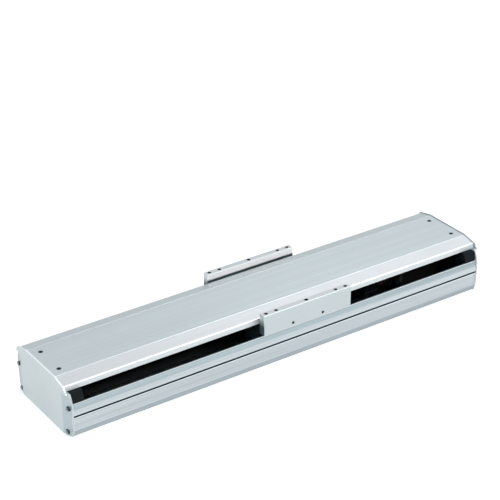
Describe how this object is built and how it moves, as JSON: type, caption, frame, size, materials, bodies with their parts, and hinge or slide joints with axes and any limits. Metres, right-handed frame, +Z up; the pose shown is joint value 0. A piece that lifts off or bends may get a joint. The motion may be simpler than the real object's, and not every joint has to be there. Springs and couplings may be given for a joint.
{
  "type": "electric slide actuator",
  "caption": "Low electric slide actuator: extruded base, sloped cover and a ball-screw table whose two side wings ride in the slots under the cover.",
  "frame": {"origin": "bottom centre of the body's box, on the base's underside", "axes": "+X along the stroke, towards the motor's end; +Y across the body, towards the rear side; +Z up through the cover"},
  "size_m": [0.82, 0.18, 0.098],
  "materials": {
    "anodised_base": "satin anodised extrusion",
    "cover_skin": "fine satin coating",
    "end_plate_metal": "satin anodised plate with bare cut corners",
    "wing_metal": "satin anodised, milled edges",
    "dark_casting": "dark satin coating",
    "table_metal": "milled, clear anodised",
    "rail_steel": "ground",
    "block_steel": "ground and oiled",
    "end_cap_plastic": "moulded",
    "ball_screw_steel": "ground thread",
    "bearing_steel": "ground and sealed",
    "nut_steel": "ground",
    "screw_steel": "bright plated",
    "bolt_black": "black oxide",
    "hub_aluminium": "turned",
    "spider_rubber": "moulded",
    "bumper_rubber": "moulded",
    "motor_black": "satin black",
    "sensor_plastic": "moulded",
    "connector_shell": "nickel plated",
    "dog_steel": "pressed sheet"
  },
  "bodies": {
    "base": {"base_extrusion": "anodised_base", "top_cover": "cover_skin", "end_plate_left": "end_plate_metal", "end_plate_right": "end_plate_metal", "end_plate_screws": "screw_steel", "top_cover_screws": "screw_steel", "end_block_left": "dark_casting", "end_block_right": "dark_casting", "support_bearing_block": "dark_casting", "support_bearing": "bearing_steel", "fixed_bearing_block": "dark_casting", "fixed_bearing_pair": "bearing_steel", "bearing_cap": "table_metal", "bearing_cap_screws": "bolt_black", "motor_mount": "dark_casting", "motor_body": "motor_black", "motor_encoder_cap": "motor_black", "motor_screws": "bolt_black", "pedestal_bolts": "bolt_black", "guide_rail_front": "rail_steel", "guide_rail_rear": "rail_steel", "guide_rail_bolts": "bolt_black", "bumpers_left": "bumper_rubber", "bumpers_right": "bumper_rubber", "limit_sensor_left": "sensor_plastic", "limit_sensor_right": "sensor_plastic", "home_sensor": "sensor_plastic", "power_connector": "connector_shell", "signal_connector": "connector_shell"},
    "carriage": {"table_plate": "table_metal", "wing_front": "wing_metal", "wing_rear": "wing_metal", "wing_foot_screws": "bolt_black", "guide_block_front_left": "block_steel", "guide_block_front_right": "block_steel", "guide_block_rear_left": "block_steel", "guide_block_rear_right": "block_steel", "guide_block_end_caps": "end_cap_plastic", "guide_block_screws": "bolt_black", "nut_bracket": "table_metal", "nut_bracket_screws": "bolt_black", "ball_nut": "nut_steel", "ball_nut_screws": "bolt_black", "sensor_dog": "dog_steel"},
    "screw": {"ball_screw": "ball_screw_steel", "locknut": "nut_steel", "coupling_hub_screw_side": "hub_aluminium", "coupling_hub_motor_side": "hub_aluminium", "coupling_spider": "spider_rubber", "motor_shaft": "nut_steel"}
  },
  "joints": [
    {"name": "table_slide", "type": "slide", "parent": "base", "child": "carriage", "axis": [1, 0, 0], "range_m": [-0.29, 0.06]},
    {"name": "screw_spin", "type": "hinge", "parent": "base", "child": "screw", "pos_m": [0, 0, 0.037], "axis": [1, 0, 0], "range_deg": [-1085, 5225]}
  ],
  "couplings": [
    {"joint": "screw_spin", "follows": "table_slide", "rad_per_m": -314.16}
  ]
}
